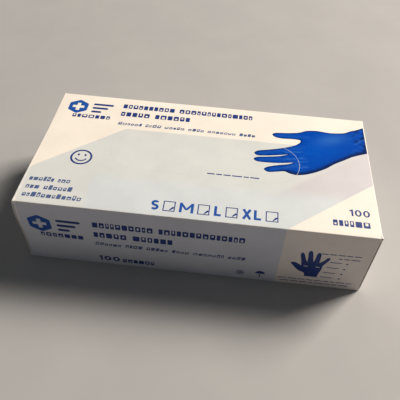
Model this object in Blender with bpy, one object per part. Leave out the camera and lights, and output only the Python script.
"""Dispenser carton of one hundred disposable gloves, full and unopened.

A folded paperboard carton lies on its largest side.  Its top panel has an
oval that tears out, the gloves lie flat below it, and each end is closed by
a hinged panel whose tongue tucks in above the bottom panel, over two dust
flaps.  +X runs along the carton, the front is at -Y, and z = 0 is the
surface that it lies on.  All lengths are in metres.
"""
import math

import bpy

# Driving dimensions of the carton, outside.
LENGTH = 0.240
WIDTH = 0.120
HEIGHT = 0.060
BOARD = 0.00045
GAP = 0.0003

# The oval that tears out of the top panel.
TEAR_OUT_LENGTH = 0.137
TEAR_OUT_WIDTH = 0.040

# End closures: a crease at the top, a tongue at the bottom.
CREASE_ROOM = 0.0005
CREASE_INSET = BOARD / 2
TUCK_CREASE_Z = BOARD + GAP + BOARD / 2
TONGUE_LENGTH = 0.014
TONGUE_SIDE_ROOM = 0.004
TONGUE_CORNER = 0.009
TONGUE_TILT = math.radians(16)

# Dust flaps, hinged on the front and back panels behind the closures.
DUST_LENGTH = 0.042
DUST_SHOULDER = 0.0032
DUST_TAPER = 0.5
DUST_LOW_EDGE = 0.0055
DUST_CORNER = 0.004

# The glued side seam, inside along the back of the bottom panel.
SEAM_LENGTH = 0.206
SEAM_WIDTH = 0.014
SEAM_TAPER = 0.006
GLUE_LENGTH = 0.186
GLUE_WIDTH = 0.006
GLUE_THICKNESS = 0.0001

# Gloves: one pulled first, folded up, and ninety-nine flat ones below it in
# layers of three, each layer one solid as thick as its three gloves' film.
LAYERS = 33
LAYER_THICKNESS = 0.0007
LAYER_PITCH = 0.0015
STACK_BOTTOM = 2 * BOARD + 3 * GAP + GLUE_THICKNESS
FOLDED_LENGTH = 0.118
FOLDED_WIDTH = 0.030
FOLDED_THICKNESS = 0.0024
FOLDED_CORNER = 0.012

# Half the outline of a flat glove lies on each side of its middle finger.
GLOVE_LENGTH = 0.205
CUFF_HALF = 0.043
PALM_HALF = 0.0435
KNUCKLES_X = 0.022
THUMB_ROOT_X = -0.042
THUMB_TIP = (0.036, -0.0475)
THUMB_WIDTH = 0.016
FINGER_WIDTH = 0.0205
FINGER_TIP_WIDTH = 0.012
FINGER_LENGTHS = (0.060, 0.075, 0.080, 0.072)

ARC_STEPS = 6
OVAL_STEPS = 16


def clear_scene():
    """Remove every object that the scene starts with."""
    for obj in list(bpy.data.objects):
        bpy.data.objects.remove(obj, do_unlink=True)


def make_material(name, colour, roughness):
    """Return a Principled material of one colour."""
    material = bpy.data.materials.new(name)
    material.use_nodes = True
    shader = material.node_tree.nodes["Principled BSDF"]
    shader.inputs["Base Color"].default_value = (*colour, 1.0)
    shader.inputs["Roughness"].default_value = roughness
    shader.inputs["Metallic"].default_value = 0.0
    material.diffuse_color = (*colour, 1.0)
    return material


def arc(centre, radius, start, end, steps=ARC_STEPS):
    """Return the points of an arc, with its angles in degrees."""
    points = []
    for step in range(steps + 1):
        angle = math.radians(start + (end - start) * step / steps)
        points.append((centre[0] + radius * math.cos(angle), centre[1] + radius * math.sin(angle)))
    return points


def rectangle(low, high):
    """Return a rectangle's corners, anticlockwise."""
    return [low, (high[0], low[1]), high, (low[0], high[1])]


def rounded_rectangle(length, width, radius):
    """Return a rectangle about the origin with four round corners."""
    x = length / 2 - radius
    y = width / 2 - radius
    return (
        arc((x, y), radius, 0, 90)
        + arc((-x, y), radius, 90, 180)
        + arc((-x, -y), radius, 180, 270)
        + arc((x, -y), radius, 270, 360)
    )


def oval(length, width):
    """Return a bar with fully round ends about the origin."""
    radius = width / 2
    x = length / 2 - radius
    return (
        arc((x, 0), radius, -90, 90, OVAL_STEPS)
        + arc((-x, 0), radius, 90, 270, OVAL_STEPS)
    )


def sheet(name, outlines, thickness, material):
    """Return a flat sheet: the first outline is its edge, the others are holes."""
    curve = bpy.data.curves.new(name, "CURVE")
    curve.dimensions = "2D"
    curve.fill_mode = "BOTH"
    curve.extrude = thickness / 2
    for outline in outlines:
        spline = curve.splines.new("POLY")
        spline.points.add(len(outline) - 1)
        for point, (x, y) in zip(spline.points, outline):
            point.co = (x, y, 0.0, 1.0)
        spline.use_cyclic_u = True
    curve.materials.append(material)
    return bpy.data.objects.new(name, curve)


def place(obj, location, rotation=(0.0, 0.0, 0.0), parent=None):
    """Link an object to the carton's collection, at a place under its parent."""
    bpy.data.collections["glove_box"].objects.link(obj)
    obj.parent = parent
    obj.location = location
    obj.rotation_euler = rotation
    return obj


def axis_empty(name, location, parent=None):
    """Return an empty on the axis of a joint."""
    empty = bpy.data.objects.new(name, None)
    empty.empty_display_size = 0.01
    return place(empty, location, parent=parent)


def make_top(board):
    """Make the top panel with its oval hole, and the oval that tears out."""
    middle = HEIGHT - BOARD / 2
    half = (LENGTH / 2 - CREASE_INSET - CREASE_ROOM, WIDTH / 2)
    edge = rectangle((-half[0], -half[1]), half)
    hole = oval(TEAR_OUT_LENGTH, TEAR_OUT_WIDTH)
    top = sheet("top_panel", [edge, hole], BOARD, board)
    place(top, (0.0, 0.0, middle))
    torn = oval(TEAR_OUT_LENGTH - 2 * GAP, TEAR_OUT_WIDTH - 2 * GAP)
    tear_out = sheet("tear_out_panel", [torn], BOARD, board)
    place(tear_out, (0.0, 0.0, middle))


def make_walls(board):
    """Make the bottom panel and the front and back panels that stand on it."""
    half = (LENGTH / 2, WIDTH / 2)
    bottom = sheet("bottom_panel", [rectangle((-half[0], -half[1]), half)], BOARD, board)
    place(bottom, (0.0, 0.0, BOARD / 2))
    end = LENGTH / 2 - BOARD - GAP
    low = BOARD + GAP
    high = HEIGHT - BOARD - GAP
    for name, side in (("front_panel", -1), ("back_panel", 1)):
        wall = sheet(name, [rectangle((-end, low), (end, high))], BOARD, board)
        place(wall, (0.0, side * (WIDTH - BOARD) / 2, 0.0), (math.pi / 2, 0.0, 0.0))


def make_seam(board, glue):
    """Make the glue flap, folded in from the back panel, and its line of glue."""
    glue_z = BOARD + GAP + GLUE_THICKNESS / 2
    flap_z = BOARD + 2 * GAP + GLUE_THICKNESS + BOARD / 2
    back_y = WIDTH / 2 - BOARD - GAP
    half = SEAM_LENGTH / 2
    outline = [
        (-half + SEAM_TAPER, back_y - SEAM_WIDTH),
        (half - SEAM_TAPER, back_y - SEAM_WIDTH),
        (half, back_y),
        (-half, back_y),
    ]
    place(sheet("glue_flap", [outline], BOARD, board), (0.0, 0.0, flap_z))
    strip = rounded_rectangle(GLUE_LENGTH, GLUE_WIDTH, GLUE_WIDTH / 2)
    strip_y = back_y - SEAM_WIDTH / 2
    place(sheet("seam_glue", [strip], GLUE_THICKNESS, glue), (0.0, strip_y, glue_z))


def make_closure(end_name, side, board):
    """Make one end's closure panel and its tongue, with side +1 at +X."""
    hinge_x = side * (LENGTH - BOARD) / 2
    hinge_z = HEIGHT - CREASE_INSET
    turned = side * math.pi / 2
    hinge = axis_empty(f"closure_axis_{end_name}", (hinge_x, 0.0, hinge_z))
    drop = hinge_z - TUCK_CREASE_Z
    half = WIDTH / 2 - GAP
    panel = rectangle((-half, CREASE_ROOM - drop), (half, -CREASE_ROOM))
    closure = sheet(f"end_closure_{end_name}", [panel], BOARD, board)
    place(closure, (0.0, 0.0, 0.0), (math.pi / 2, 0.0, turned), hinge)

    crease = axis_empty(f"tongue_axis_{end_name}", (0.0, 0.0, -drop), hinge)
    half = WIDTH / 2 - TONGUE_SIDE_ROOM
    corner_y = TONGUE_LENGTH - TONGUE_CORNER
    outline = [(-half, CREASE_ROOM), (half, CREASE_ROOM)]
    outline += arc((half - TONGUE_CORNER, corner_y), TONGUE_CORNER, 0, 90)
    outline += arc((TONGUE_CORNER - half, corner_y), TONGUE_CORNER, 90, 180)
    tongue = sheet(f"tuck_tongue_{end_name}", [outline], BOARD, board)
    place(tongue, (0.0, 0.0, 0.0), (TONGUE_TILT, 0.0, turned), crease)


def dust_outline(direction):
    """Return a dust flap's outline, reaching along local x in the given direction."""
    root = BOARD / 2 + GAP
    root_top = HEIGHT - DUST_SHOULDER
    tip_top = root_top - DUST_TAPER * DUST_LENGTH
    points = [(root, root_top), (root, DUST_LOW_EDGE)]
    low = (DUST_LENGTH - DUST_CORNER, DUST_LOW_EDGE + DUST_CORNER)
    points += arc(low, DUST_CORNER, 270, 360)
    taper_angle = math.degrees(math.atan(DUST_TAPER))
    high = (DUST_LENGTH - DUST_CORNER, tip_top)
    points += arc(high, DUST_CORNER, 0, 90 - taper_angle)
    return [(direction * x, z) for x, z in points]


def make_dust_flaps(end_name, side, board):
    """Make one end's two dust flaps, each on its crease."""
    crease_x = side * (LENGTH / 2 - BOARD - GAP - BOARD / 2)
    turned = side * math.pi / 2
    for face_name, face in (("front", -1), ("back", 1)):
        flap = sheet(
            f"dust_flap_{end_name}_{face_name}", [dust_outline(-face * side)], BOARD, board
        )
        crease = (crease_x, face * (WIDTH - BOARD) / 2, 0.0)
        place(flap, crease, (math.pi / 2, 0.0, turned))


def glove_outline():
    """Return a flat glove's outline, its cuff at -X, its fingers at +X, thumb at -Y."""
    cuff_x = -GLOVE_LENGTH / 2
    thumb_x, thumb_y = THUMB_TIP
    points = [(cuff_x, CUFF_HALF), (cuff_x, -CUFF_HALF)]
    points += [(THUMB_ROOT_X, -PALM_HALF), (thumb_x, thumb_y)]
    points += [(thumb_x, thumb_y + THUMB_WIDTH / 2), (KNUCKLES_X / 2, thumb_y + THUMB_WIDTH)]
    first_middle = PALM_HALF - 3.5 * FINGER_WIDTH
    for finger, length in enumerate(FINGER_LENGTHS):
        middle = first_middle + finger * FINGER_WIDTH
        tip = KNUCKLES_X + length
        points += [(tip, middle - FINGER_TIP_WIDTH / 2), (tip, middle + FINGER_TIP_WIDTH / 2)]
        if finger < len(FINGER_LENGTHS) - 1:
            points.append((KNUCKLES_X, middle + FINGER_WIDTH / 2))
    points.append((KNUCKLES_X, PALM_HALF))
    return points


def make_gloves(nitrile):
    """Make the layers of flat gloves, turned end for end in turn, and the first glove."""
    pattern = sheet("glove_layer_01", [glove_outline()], LAYER_THICKNESS, nitrile)
    for layer in range(LAYERS):
        gloves = pattern
        if layer:
            gloves = bpy.data.objects.new(f"glove_layer_{layer + 1:02d}", pattern.data)
        bottom = STACK_BOTTOM + layer * LAYER_PITCH
        turned = math.pi * (layer % 2)
        place(gloves, (0.0, 0.0, bottom + LAYER_THICKNESS / 2), (0.0, 0.0, turned))

    stack_top = STACK_BOTTOM + LAYERS * LAYER_PITCH
    outline = rounded_rectangle(FOLDED_LENGTH, FOLDED_WIDTH, FOLDED_CORNER)
    folded = sheet("first_glove", [outline], FOLDED_THICKNESS, nitrile)
    place(folded, (0.0, 0.0, stack_top + FOLDED_THICKNESS / 2))


def main():
    """Build the whole carton."""
    clear_scene()
    collection = bpy.data.collections.new("glove_box")
    bpy.context.scene.collection.children.link(collection)
    board = make_material("coated_board", (0.80, 0.79, 0.76), 0.55)
    glue = make_material("glue", (0.80, 0.72, 0.52), 0.30)
    nitrile = make_material("nitrile", (0.02, 0.16, 0.55), 0.45)
    make_top(board)
    make_walls(board)
    make_seam(board, glue)
    for end_name, side in (("left", -1), ("right", 1)):
        make_closure(end_name, side, board)
        make_dust_flaps(end_name, side, board)
    make_gloves(nitrile)


main()
